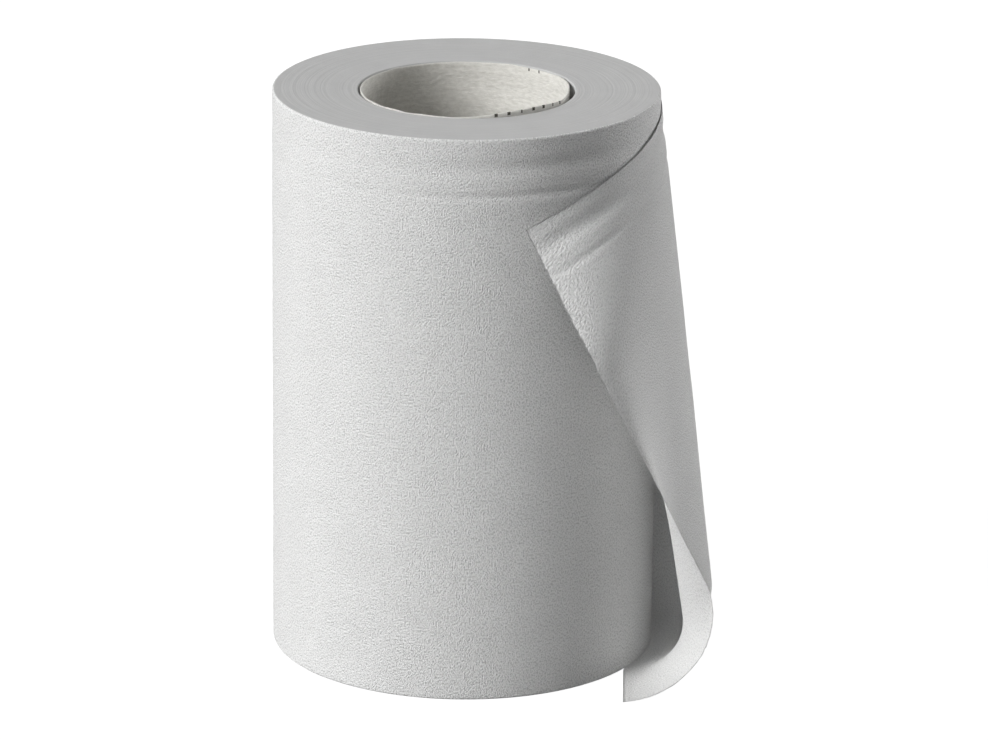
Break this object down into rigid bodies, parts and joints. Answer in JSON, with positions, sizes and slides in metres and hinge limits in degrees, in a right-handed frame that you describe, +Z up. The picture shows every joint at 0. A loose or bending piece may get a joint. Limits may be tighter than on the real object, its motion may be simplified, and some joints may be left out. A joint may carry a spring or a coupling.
{
  "type": "paper towel roll",
  "caption": "Small paper towel roll standing on its end, wound on a thin paper core, with the last turn loose and lapped over the front.",
  "frame": {"origin": "on the axis of the core, at the foot of the standing roll", "axes": "+Z up along the roll's axis; -Y towards the front, over which the loose sheet laps; +X to the right, where the loose sheet bulges out"},
  "size_m": [0.1556, 0.1533, 0.2],
  "materials": {
    "paper": "matte",
    "core_paper": "matte"
  },
  "bodies": {
    "root": {"paper_roll": "paper", "core": "core_paper"}
  },
  "joints": []
}
